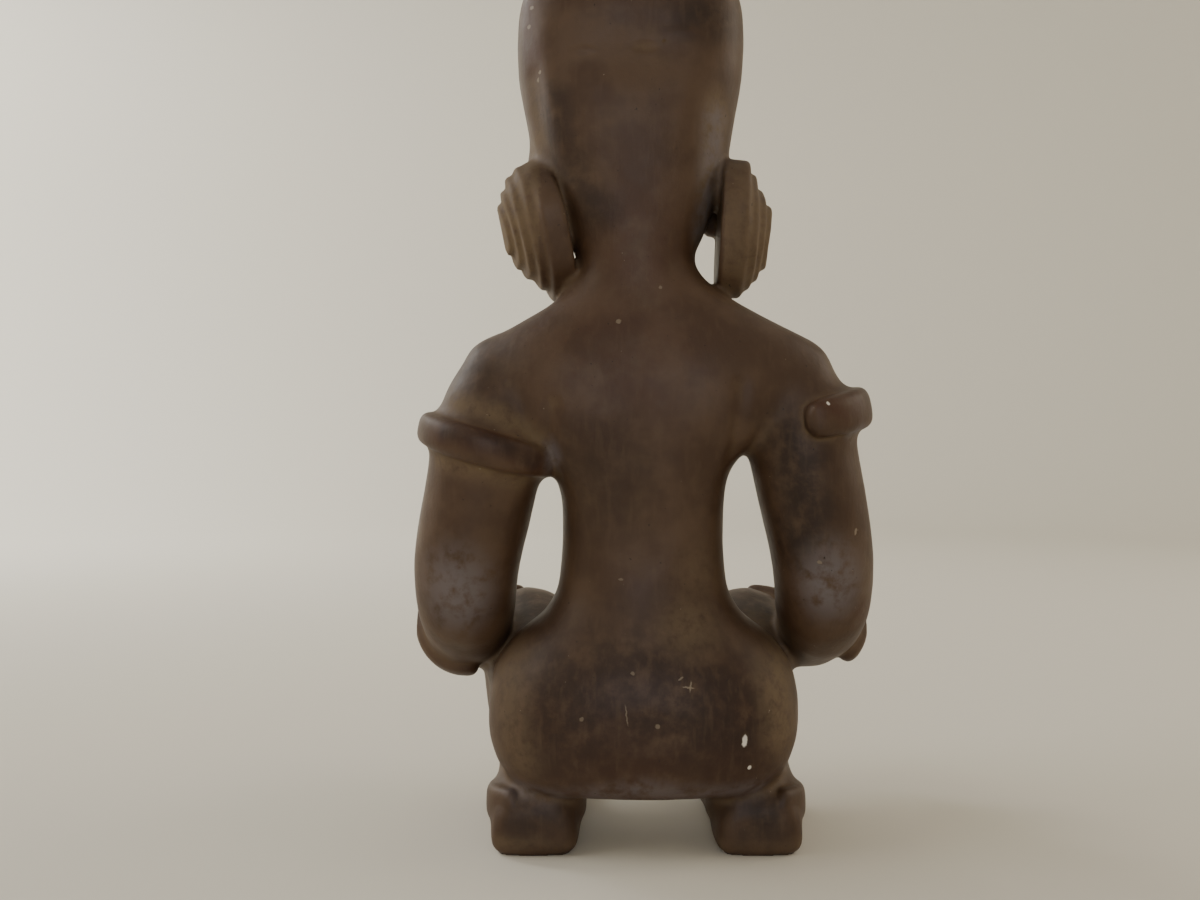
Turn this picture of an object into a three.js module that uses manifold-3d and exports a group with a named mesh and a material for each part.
// A squatting figure of burnished brown clay, modelled by hand and fired in one piece.
// It squats with its seat just above the heels and its hands on the knees, and it stands on its two soles.
// Millimetres, +Z up. The figure faces +Y, its own left side is -X, and Y = 0 is the back of the hips.

import * as THREE from "three";
import { LoftGeometry } from "three/addons/geometries/LoftGeometry.js";
import { mergeVertices } from "three/addons/utils/BufferGeometryUtils.js";
import Module from "manifold-3d";

const wasm = await Module();
wasm.setup();

// Heights above the soles
const SEAT_Z = 18;
const HIP_Z = 42;
const WAIST_Z = 94;
const ARMPIT_Z = 125;
const SHOULDER_Z = 150;
const NECK_Z = 189;
const EAR_Z = 200;
const EYE_Z = 237;
const CROWN_Z = 288;

// The head leans a little to the figure's left
const HEAD_LEAN = -3.8;

// Knees and wrists
const KNEE_X = 40;
const KNEE_Y = 77;
const KNEE_Z = 57;
const KNEE_RADIUS = 19;

// The middle of the upper arm where its band goes round
const UPPER_ARM = { x: 49.8, y: 24.8, z: 128, slope: 0.2 };

// The sole's rim is rounded this much
const SOLE_EDGE = 1.6;

// How finely each form is divided
const TRUNK_SIDES = 28;
const LIMB_SIDES = 12;
const ORNAMENT_SIDES = 14;
const FINGER_SIDES = 6;
const LONGEST_SLICE = 12.5;
const HALF_TURN = Math.PI;
const QUARTER_TURN = 0.5 * Math.PI;
const FULL_TURN = 2 * Math.PI;

const CLAY = new THREE.MeshStandardMaterial({ color: 0x6e4f3b, roughness: 0.5, metalness: 0 });

// Small differences between the two sides; sign -1 is the figure's left. Bands run round the limb between
// two angles in radians, counted from its outer side.
const SIDES = [
  {
    sign: -1,
    heelX: -34.6,
    arm: { out: 0, slim: 0, shoulder: 0 },
    armband: { from: -HALF_TURN, to: HALF_TURN, height: 128.8, halfWidth: 5, slant: 1.6, reach: 18.2 },
    bracelet: { from: -1.65, to: 2.3 },
    ear: {
      inner: -27.2,
      lean: 0.24,
      turn: 0.16,
      rise: 0.2,
      lobe: { x: 33.8, top: 231 },
      laminae: [
        { thick: 8, radius: 22.6 },
        { thick: 3.2, radius: 20 },
        { thick: 2.8, radius: 16.8 },
        { thick: 2, radius: 12.8 },
        { thick: 1.6, radius: 8 },
      ],
    },
  },
  {
    sign: 1,
    heelX: 36.6,
    arm: { out: 1.8, slim: 0.8, shoulder: 2 },
    armband: { from: -1.2, to: 1.6, height: 137, halfWidth: 6.4, slant: 0, reach: 19 },
    bracelet: { from: -0.75, to: 2.1 },
    ear: {
      inner: 25.2,
      lean: 0.06,
      turn: 0.05,
      rise: -0.15,
      lobe: { x: 27.6, top: 223 },
      laminae: [
        { thick: 8.8, radius: 22.2 },
        { thick: 2.6, radius: 18.6 },
        { thick: 2.3, radius: 14.8 },
        { thick: 2, radius: 10.4 },
      ],
    },
  },
];

// Smooth curve through a list of stations, with no overshoot between them
function curveThrough(stations, along, key) {
  const at = stations.map((s) => s[along]);
  const value = stations.map((s) => s[key]);
  const last = at.length - 1;
  const secant = at.slice(1).map((a, i) => (value[i + 1] - value[i]) / (a - at[i]));
  const slope = value.map((_, i) => {
    if (i === 0) return secant[0];
    if (i === last) return secant[last - 1];
    const [before, after] = [secant[i - 1], secant[i]];
    return before * after <= 0 ? 0 : (2 * before * after) / (before + after);
  });
  return (a) => {
    let i = 0;
    while (i < last - 1 && a > at[i + 1]) i += 1;
    const span = at[i + 1] - at[i];
    const t = THREE.MathUtils.clamp((a - at[i]) / span, 0, 1);
    const [t2, t3] = [t * t, t * t * t];
    return (
      (2 * t3 - 3 * t2 + 1) * value[i] +
      (t3 - 2 * t2 + t) * span * slope[i] +
      (3 * t2 - 2 * t3) * value[i + 1] +
      (t3 - t2) * span * slope[i + 1]
    );
  };
}

// A closed solid skinned over rings of points that each run anticlockwise round the direction of travel
function skin(rings, loop = false) {
  const loft = new LoftGeometry(loop ? [...rings, rings[0]] : rings, { capStart: !loop, capEnd: !loop });
  const places = new THREE.BufferGeometry().setAttribute("position", loft.getAttribute("position"));
  const merged = mergeVertices(places.setIndex(loft.getIndex()), 1e-3);
  const mesh = new wasm.Mesh({
    numProp: 3,
    vertProperties: merged.attributes.position.array,
    triVerts: new Uint32Array(merged.index.array),
  });
  return new wasm.Manifold(mesh);
}

function join(solids) {
  return solids.reduce((whole, solid) => whole.add(solid));
}

const power = (v, n) => Math.sign(v) * Math.pow(Math.abs(v), 2 / n);

// Hips, waist, chest, shoulders, neck and head as level slices. Each has its half width, the depth of its
// back and of its front, and mid, the depth at which it is widest.
const TRUNK_SLICES = [
  { z: SEAT_Z, half: 31, back: 12, front: 40, mid: 26 },
  { z: SEAT_Z + 2, half: 39.5, back: 6.6, front: 45, mid: 26 },
  { z: SEAT_Z + 8, half: 46.4, back: 2.2, front: 48, mid: 26 },
  { z: HIP_Z - 6, half: 50, back: 0.1, front: 50, mid: 26 },
  { z: HIP_Z + 6, half: 50.3, back: 0.3, front: 52, mid: 27 },
  { z: 58, half: 48.5, back: 2.6, front: 53, mid: 28 },
  { z: 66, half: 42.5, back: 6, front: 53, mid: 29 },
  { z: 74, half: 32, back: 9, front: 53, mid: 30 },
  { z: 82, half: 27.4, back: 11, front: 54, mid: 31 },
  { z: WAIST_Z, half: 26.4, back: 11.6, front: 54, mid: 31 },
  { z: 111, half: 26.2, back: 10, front: 50, mid: 29 },
  { z: 119, half: 27.6, back: 8.6, front: 48, mid: 27 },
  { z: ARMPIT_Z, half: 31.5, back: 7.8, front: 47.5, mid: 25.5 },
  { z: 132, half: 39, back: 6.8, front: 47, mid: 24.5 },
  { z: 140, half: 47.5, back: 6.2, front: 46, mid: 24 },
  { z: SHOULDER_Z, half: 53.6, back: 6.6, front: 44, mid: 24 },
  { z: 157, half: 54.6, back: 7.6, front: 42, mid: 24 },
  { z: 162, half: 52.4, back: 8.6, front: 41, mid: 24.4 },
  { z: 167, half: 43.4, back: 9.6, front: 40.4, mid: 25 },
  { z: 173, half: 32, back: 11, front: 40, mid: 25.6 },
  { z: 179, half: 23.6, back: 12.2, front: 40, mid: 26.4 },
  { z: NECK_Z - 3, half: 19.2, back: 13.1, front: 41, mid: 27.4 },
  { z: NECK_Z + 1, half: 18.9, back: 13.2, front: 46, mid: 28.4 },
  { z: NECK_Z + 5, half: 20.8, back: 13, front: 59, mid: 30 },
  { z: NECK_Z + 11, half: 23.8, back: 12.3, front: 64, mid: 32.4 },
  { z: 210, half: 27.8, back: 11.2, front: 65, mid: 35 },
  { z: 221, half: 31.4, back: 10, front: 64.4, mid: 36.4 },
  { z: EYE_Z, half: 34.6, back: 8.9, front: 62.2, mid: 36 },
  { z: 249, half: 36.8, back: 8.8, front: 60, mid: 34.4 },
  { z: 260, half: 37.2, back: 8.4, front: 55, mid: 32 },
  { z: 270, half: 36.4, back: 8.6, front: 48.4, mid: 29 },
  { z: 278, half: 33.2, back: 10.4, front: 42.6, mid: 27 },
  { z: CROWN_Z - 4, half: 26.4, back: 13.8, front: 37, mid: 25.6 },
  { z: CROWN_Z, half: 13, back: 19.8, front: 30, mid: 25 },
];

// How far the trunk's middle stands to the side, by height
const LEAN = [
  [SEAT_Z, 0],
  [111, 0.2],
  [ARMPIT_Z, -0.8],
  [140, 1],
  [160, 2],
  [173, 1],
  [NECK_Z, -2.4],
  [210, -3.1],
  [221, HEAD_LEAN],
  [CROWN_Z, HEAD_LEAN],
];

// How square the back half and the front half of a slice are, by height: 2 is an oval
const SQUARE_BACK = [
  [SEAT_Z, 2.6],
  [58, 2.2],
  [74, 2.1],
  [WAIST_Z, 2.5],
  [140, 3],
  [SHOULDER_Z, 2.9],
  [170, 2.2],
  [221, 2.9],
  [270, 2.8],
  [CROWN_Z, 2.3],
];
const SQUARE_FRONT = [
  [SEAT_Z, 2.4],
  [WAIST_Z, 2.2],
  [132, 2.6],
  [173, 2.1],
  [NECK_Z + 5, 1.9],
  [EYE_Z, 2.3],
  [CROWN_Z, 2.2],
];

function trunk() {
  const sizes = ["half", "back", "front", "mid"].map((key) => curveThrough(TRUNK_SLICES, "z", key));
  const [lean, squareBack, squareFront] = [LEAN, SQUARE_BACK, SQUARE_FRONT].map((pairs) =>
    curveThrough(pairs.map(([z, value]) => ({ z, value })), "z", "value"),
  );
  const ringAt = (z) => {
    const [half, back, front, mid] = sizes.map((size) => size(z));
    return Array.from({ length: TRUNK_SIDES }, (_, i) => {
      const a = (i / TRUNK_SIDES) * FULL_TURN;
      const behind = Math.sin(a) < 0;
      const squareness = behind ? squareBack(z) : squareFront(z);
      const reach = behind ? mid - back : front - mid;
      const x = lean(z) + half * power(Math.cos(a), squareness);
      return new THREE.Vector3(x, mid + reach * power(Math.sin(a), squareness), z);
    });
  };
  const heights = TRUNK_SLICES.flatMap(({ z }, i) => {
    const next = TRUNK_SLICES[i + 1];
    return next && next.z - z > LONGEST_SLICE ? [z, (z + next.z) / 2] : [z];
  });
  return skin(heights.map(ringAt));
}

// A limb skinned along a smooth path. Each knot has its place, its radius across and its radius deep.
function limb(knots, { sides = LIMB_SIDES, steps, across = new THREE.Vector3(1, 0, 0), domes = 2 }) {
  const path = new THREE.CatmullRomCurve3(knots.map((k) => new THREE.Vector3(...k.at)), false, "centripetal");
  const index = knots.map((k, i) => ({ i, wide: k.radius, deep: k.deep ?? k.radius }));
  const wide = curveThrough(index, "i", "wide");
  const deep = curveThrough(index, "i", "deep");
  const ring = (t, shrink, push) => {
    const along = path.getTangent(t);
    const u = across.clone().addScaledVector(along, -across.dot(along)).normalize();
    const v = new THREE.Vector3().crossVectors(along, u);
    const centre = path.getPoint(t).addScaledVector(along, push);
    const place = t * (knots.length - 1);
    return Array.from({ length: sides }, (_, i) => {
      const a = (i / sides) * FULL_TURN;
      return centre
        .clone()
        .addScaledVector(u, wide(place) * shrink * Math.cos(a))
        .addScaledVector(v, deep(place) * shrink * Math.sin(a));
    });
  };
  const dome = (t, direction) =>
    Array.from({ length: domes }, (_, i) => {
      const a = (QUARTER_TURN * (i + 0.8)) / (domes + 0.3);
      const radius = Math.min(wide(t * (knots.length - 1)), deep(t * (knots.length - 1)));
      return ring(t, Math.cos(a), direction * radius * Math.sin(a));
    });
  const body = Array.from({ length: steps + 1 }, (_, i) => ring(i / steps, 1, 0));
  return skin([...dome(0, -1).reverse(), ...body, ...dome(1, 1)]);
}

// Shoulder, upper arm, elbow and forearm, down to the wrist
function arm({ sign, arm: { out, slim, shoulder } }) {
  const knot = (x, y, z, radius) => ({ at: [sign * (x + out), y, z], radius: radius - slim });
  return limb(
    [
      knot(46 + shoulder, 26, 152, 13),
      knot(47.5 + shoulder / 2, 25.4, 143, 16.8),
      knot(UPPER_ARM.x, UPPER_ARM.y, UPPER_ARM.z, 18.3),
      knot(54, 26.6, 108, 18),
      knot(57.6, 29.4, 90, 17.2),
      knot(58.4, 35, 75.4, 16.4),
      knot(59.2, 48, 66.8, 14.4),
      { at: [sign * 59.4, 62, 60.8], radius: 12 },
      { at: [sign * 58.2, 73, 58], radius: 9.6 },
    ],
    { steps: 16, sides: 14 },
  );
}

// Place on or near the front of a knee: turn is the angle from straight ahead towards the outside
function roundKnee(sign, turn, height, proud) {
  const reach = Math.sqrt(KNEE_RADIUS ** 2 - (height - KNEE_Z) ** 2) + proud;
  return [sign * (KNEE_X + reach * Math.sin(turn)), KNEE_Y + reach * Math.cos(turn), height];
}

// Palm, four fingers and thumb, laid round the outside of the knee
function hand(sign) {
  const upright = new THREE.Vector3(0, 0, 1);
  const palm = limb(
    [
      { at: [sign * 58.6, 70, 58], radius: 8.6, deep: 7.5 },
      { at: roundKnee(sign, 1.25, 57.5, 2), radius: 10, deep: 5.4 },
      { at: roundKnee(sign, 0.8, 56.5, 1.4), radius: 10.4, deep: 4.2 },
    ],
    { sides: 8, steps: 3, across: upright, domes: 1 },
  );
  const FINGERS = 4;
  const SPACING = 5.2;
  const fingers = Array.from({ length: FINGERS }, (_, i) => {
    const height = KNEE_Z - 0.5 + ((FINGERS - 1) / 2 - i) * SPACING;
    const tip = -0.42 + 0.1 * Math.abs(i - 1.2);
    return limb(
      [
        { at: roundKnee(sign, 0.86, height, 1.2), radius: 2.6 },
        { at: roundKnee(sign, 0.45, height, 2.2), radius: 2.6 },
        { at: roundKnee(sign, 0.05, height - 0.3, 1.8), radius: 2.5 },
        { at: roundKnee(sign, tip, height - 0.6, 1), radius: 2.2 },
      ],
      { sides: FINGER_SIDES, steps: 3, across: upright, domes: 1 },
    );
  });
  const thumb = limb(
    [
      { at: [sign * 58.5, 76, 64], radius: 3.8 },
      { at: [sign * 53, 84.5, 70.5], radius: 3.5 },
      { at: [sign * 46, 88.5, 72], radius: 2.8 },
    ],
    { sides: FINGER_SIDES, steps: 3, domes: 1 },
  );
  return join([palm, ...fingers, thumb]);
}

// Thigh from the hip up to the knee, and shin from the knee back down to the ankle
function leg({ sign, heelX }) {
  const thigh = limb(
    [
      { at: [sign * 28, 34, 43], radius: 19 },
      { at: [sign * 32, 47, 47.5], radius: 19.6 },
      { at: [sign * 36.5, 62, 53], radius: 19 },
      { at: [sign * KNEE_X, KNEE_Y, KNEE_Z], radius: KNEE_RADIUS },
    ],
    { steps: 4 },
  );
  const shin = limb(
    [
      { at: [sign * KNEE_X, KNEE_Y - 1, KNEE_Z - 4], radius: 17.4 },
      { at: [sign * (KNEE_X - 1), KNEE_Y - 15, KNEE_Z - 21], radius: 15.6 },
      { at: [heelX, 44, 21], radius: 13.8 },
      { at: [heelX, 29, 14], radius: 13.6, deep: 12.6 },
    ],
    { steps: 6 },
  );
  return thigh.add(shin);
}

// A slice across the foot, flat below and domed above
function footRing(x, y, half, height, squareness, arch = 8) {
  const edge = Math.min(SOLE_EDGE, 0.4 * half);
  const ring = [];
  for (let i = 0; i <= arch; i += 1) {
    const a = (i / arch) * HALF_TURN;
    const rise = edge + (height - edge) * power(Math.sin(a), squareness);
    ring.push(new THREE.Vector3(x + half * power(Math.cos(a), squareness), y, rise));
  }
  ring.push(new THREE.Vector3(x - half + edge, y, 0), new THREE.Vector3(x + half - edge, y, 0));
  return ring.reverse();
}

// Heel block, instep and five toes, with a level sole
function foot({ sign, heelX }) {
  const stations = [
    { y: 12, half: 11.6, height: 13, squareness: 3.2 },
    { y: 13.6, half: 13.6, height: 17.5, squareness: 3.4 },
    { y: 24, half: 14.2, height: 23, squareness: 3.2 },
    { y: 38, half: 13.8, height: 22, squareness: 2.8 },
    { y: 52, half: 14.6, height: 14.5, squareness: 2.6 },
    { y: 62, half: 15.8, height: 10.4, squareness: 2.6 },
    { y: 68, half: 14.6, height: 8, squareness: 2.6 },
  ];
  const keys = ["half", "height", "squareness"];
  const curves = keys.map((key) => curveThrough(stations, "y", key));
  const steps = [12, 13.6, 24, 38, 52, 62, 68];
  const sole = skin(steps.map((y) => footRing(heelX, y, ...curves.map((curve) => curve(y)))));
  const TOES = 5;
  const toes = Array.from({ length: TOES }, (_, i) => {
    const half = 3.9 - 0.3 * i;
    const x = heelX - sign * (11.4 - 5.9 * i);
    const end = 81 - 0.5 * i - 0.45 * i * i;
    const shape = [
      { back: end - 60, size: 1 },
      { back: 2.4, size: 0.96 },
      { back: 0, size: 0.5 },
    ];
    const height = 8.6 - 0.5 * i;
    return skin(shape.map(({ back, size }) => footRing(x, end - back, half * size, height * size, 2.2, 4)));
  });
  return join([sole, ...toes]);
}

// Corners of a strip's section, in shares of how proud and how wide it is: a flat back and a rounded front
const STRIP_SECTION = [
  [1, -0.45],
  [1, 0.45],
  [0.5, 1],
  [-1, 1],
  [-1, -1],
  [0.5, -1],
];

// A strip of clay pressed round a limb. Its middle line runs round centre at the given radius.
function strip({ centre, axis, start, radius, deep = radius, from, to, halfWidth, proud, slant = 0, steps }) {
  const along = new THREE.Vector3(...axis).normalize();
  const first = new THREE.Vector3(...start);
  first.addScaledVector(along, -first.dot(along)).normalize();
  const second = new THREE.Vector3().crossVectors(along, first);
  const loop = to - from >= FULL_TURN - 1e-6;
  const count = loop ? steps : steps + 1;
  const rings = Array.from({ length: count }, (_, k) => {
    const a = from + ((to - from) * k) / steps;
    const out = first.clone().multiplyScalar(Math.cos(a)).addScaledVector(second, Math.sin(a));
    const middle = new THREE.Vector3(...centre)
      .addScaledVector(first, radius * Math.cos(a))
      .addScaledVector(second, deep * Math.sin(a))
      .addScaledVector(along, slant * Math.cos(a));
    const fromEnd = Math.min(k, steps - k);
    const taper = loop ? 1 : Math.sin(QUARTER_TURN * Math.min(1, (fromEnd + 0.7) / 1.8));
    return STRIP_SECTION.map(([outwards, down]) =>
      middle
        .clone()
        .addScaledVector(out, proud * (outwards > 0 ? taper : 1) * outwards)
        .addScaledVector(along, -halfWidth * taper * down),
    );
  });
  return skin(rings, loop);
}

function bands({ sign, heelX, armband, bracelet, arm: { out } }) {
  const outward = [sign, 0, 0];
  const mirrored = ({ from, to }) => (sign > 0 ? { from, to } : { from: -to, to: -from });
  const armX = UPPER_ARM.x - UPPER_ARM.slope * (armband.height - UPPER_ARM.z);
  const onArm = strip({
    ...mirrored(armband),
    centre: [sign * (armX + out), UPPER_ARM.y, armband.height],
    axis: [-sign * UPPER_ARM.slope, -0.06, 1],
    start: outward,
    radius: armband.reach,
    halfWidth: armband.halfWidth,
    proud: 4.7,
    slant: armband.slant,
    steps: 14,
  });
  const onForearm = strip({
    ...mirrored(bracelet),
    centre: [sign * (59.3 + 0.6 * out), 50, 66.8],
    axis: [0, -0.9, 0.42],
    start: outward,
    radius: 14.4,
    halfWidth: 4.8,
    proud: 3.4,
    steps: 12,
  });
  const ankleOpening = 0.09 * FULL_TURN;
  const onAnkle = strip({
    centre: [heelX, 27, 13.2],
    axis: [0, 0.12, 1],
    start: [0, -1, 0],
    radius: 13.4,
    deep: 13.6,
    from: ankleOpening,
    to: FULL_TURN - ankleOpening,
    halfWidth: 6,
    proud: 2.9,
    steps: 10,
  });
  return [onArm, onForearm, onAnkle];
}

// A stepped ear ornament: round laminae, each smaller than the one inside it. It leans out at the top,
// and it is turned a little so that its face looks outwards and back.
function earOrnament({ sign, ear: { inner, lean, turn, rise, laminae } }) {
  const OVAL = 0.86;
  const STEP = 0.3;
  const EDGE = 0.9;
  const level = new THREE.Vector3(sign * Math.cos(turn), -Math.sin(turn), 0);
  const upright = new THREE.Vector3(0, 0, 1);
  const up = upright.clone().multiplyScalar(Math.cos(lean)).addScaledVector(level, Math.sin(lean));
  const out = level.clone().multiplyScalar(Math.cos(lean)).addScaledVector(upright, -Math.sin(lean));
  const forward = new THREE.Vector3(sign * Math.sin(turn), Math.cos(turn), 0);
  const ringAt = (travel, radius) => {
    const centre = new THREE.Vector3(inner, 31, EAR_Z)
      .addScaledVector(out, travel)
      .addScaledVector(up, rise * travel);
    return Array.from({ length: ORNAMENT_SIDES }, (_, i) => {
      const a = sign * (i / ORNAMENT_SIDES) * FULL_TURN;
      return centre
        .clone()
        .addScaledVector(forward, OVAL * radius * Math.cos(a))
        .addScaledVector(up, radius * Math.sin(a));
    });
  };
  let travel = 0;
  const rings = [ringAt(0, laminae[0].radius - 2), ringAt(1.6, laminae[0].radius)];
  for (const { thick, radius } of laminae) {
    if (travel > 0) rings.push(ringAt(travel + STEP, radius));
    travel += thick;
    rings.push(ringAt(travel, radius - EDGE));
  }
  return skin(rings);
}

// The ear itself, which holds the ornament to the side of the head
function earLobe({ sign, ear: { lobe } }) {
  return limb(
    [
      { at: [sign * lobe.x, 35, lobe.top - 14], radius: 3.6, deep: 7 },
      { at: [sign * (lobe.x + 1), 35, lobe.top - 7], radius: 3.6, deep: 6.4 },
      { at: [sign * (lobe.x + 1), 36, lobe.top - 2.6], radius: 2.6, deep: 4.6 },
    ],
    { sides: 6, steps: 2, domes: 1 },
  );
}

// Brow, almond eyes, straight nose and closed lips
function face() {
  const level = new THREE.Vector3(0, 0, 1);
  const nose = limb(
    [
      { at: [HEAD_LEAN, 60.5, EYE_Z + 5], radius: 3.2 },
      { at: [HEAD_LEAN, 64, EYE_Z - 5], radius: 3.6, deep: 4.2 },
      { at: [HEAD_LEAN, 67.5, EYE_Z - 15], radius: 4.6, deep: 5 },
      { at: [HEAD_LEAN, 67, EYE_Z - 18.5], radius: 4.6, deep: 4.4 },
    ],
    { sides: 7, steps: 4, domes: 1 },
  );
  const pair = [-1, 1].flatMap((sign) => {
    const nostril = limb(
      [
        { at: [HEAD_LEAN + sign * 4, 64, EYE_Z - 17.5], radius: 3.2 },
        { at: [HEAD_LEAN + sign * 6, 65, EYE_Z - 18], radius: 3 },
      ],
      { sides: 6, steps: 1, domes: 1, across: level },
    );
    const eye = limb(
      [
        { at: [HEAD_LEAN + sign * 7.5, 61.2, EYE_Z - 0.6], radius: 1.2, deep: 1.4 },
        { at: [HEAD_LEAN + sign * 13.5, 61, EYE_Z], radius: 4, deep: 2.6 },
        { at: [HEAD_LEAN + sign * 20.5, 56.2, EYE_Z + 0.4], radius: 1.2, deep: 1.4 },
      ],
      { sides: 6, steps: 4, domes: 1, across: level },
    );
    const brow = limb(
      [
        { at: [HEAD_LEAN + sign * 4, 61.6, EYE_Z + 6.4], radius: 2, deep: 2.2 },
        { at: [HEAD_LEAN + sign * 13.5, 60, EYE_Z + 8.6], radius: 2, deep: 2.2 },
        { at: [HEAD_LEAN + sign * 23, 54, EYE_Z + 5.4], radius: 1.6, deep: 1.8 },
      ],
      { sides: 5, steps: 3, domes: 1, across: level },
    );
    return [nostril, eye, brow];
  });
  const lips = [0, 1].map((lower) =>
    limb(
      [
        { at: [HEAD_LEAN - 10, 61.4, EYE_Z - 29.5], radius: 0.9, deep: 1.2 },
        { at: [HEAD_LEAN, 65.3, EYE_Z - 27.8 - 3.2 * lower], radius: 2.3, deep: 2.6 },
        { at: [HEAD_LEAN + 10, 61.4, EYE_Z - 29.5], radius: 0.9, deep: 1.2 },
      ],
      { sides: 6, steps: 4, domes: 1, across: level },
    ),
  );
  return [nose, ...pair, ...lips];
}

// The group's origin is under the middle of the figure's own box, on the ground
function centredOnGround(solid) {
  const { numProp, vertProperties, triVerts } = solid.getMesh();
  const places = new Float32Array((vertProperties.length / numProp) * 3);
  for (let i = 0; i < places.length / 3; i += 1) {
    places.set(vertProperties.subarray(i * numProp, i * numProp + 3), i * 3);
  }
  const geometry = new THREE.BufferGeometry();
  geometry.setAttribute("position", new THREE.BufferAttribute(places, 3));
  geometry.setIndex(new THREE.BufferAttribute(triVerts, 1));
  geometry.computeBoundingBox();
  const middle = geometry.boundingBox.getCenter(new THREE.Vector3());
  geometry.translate(-middle.x, -middle.y, -geometry.boundingBox.min.z);
  geometry.computeVertexNormals();
  return geometry;
}

const oneSide = (side) => [
  arm(side),
  hand(side.sign),
  leg(side),
  foot(side),
  earOrnament(side),
  earLobe(side),
  ...bands(side),
];

const figure = join([trunk(), ...SIDES.flatMap(oneSide), ...face()]);
const clayFigure = new THREE.Mesh(centredOnGround(figure), CLAY);
clayFigure.name = "clay_figure";

const group = new THREE.Group();
group.add(clayFigure);

export default group;
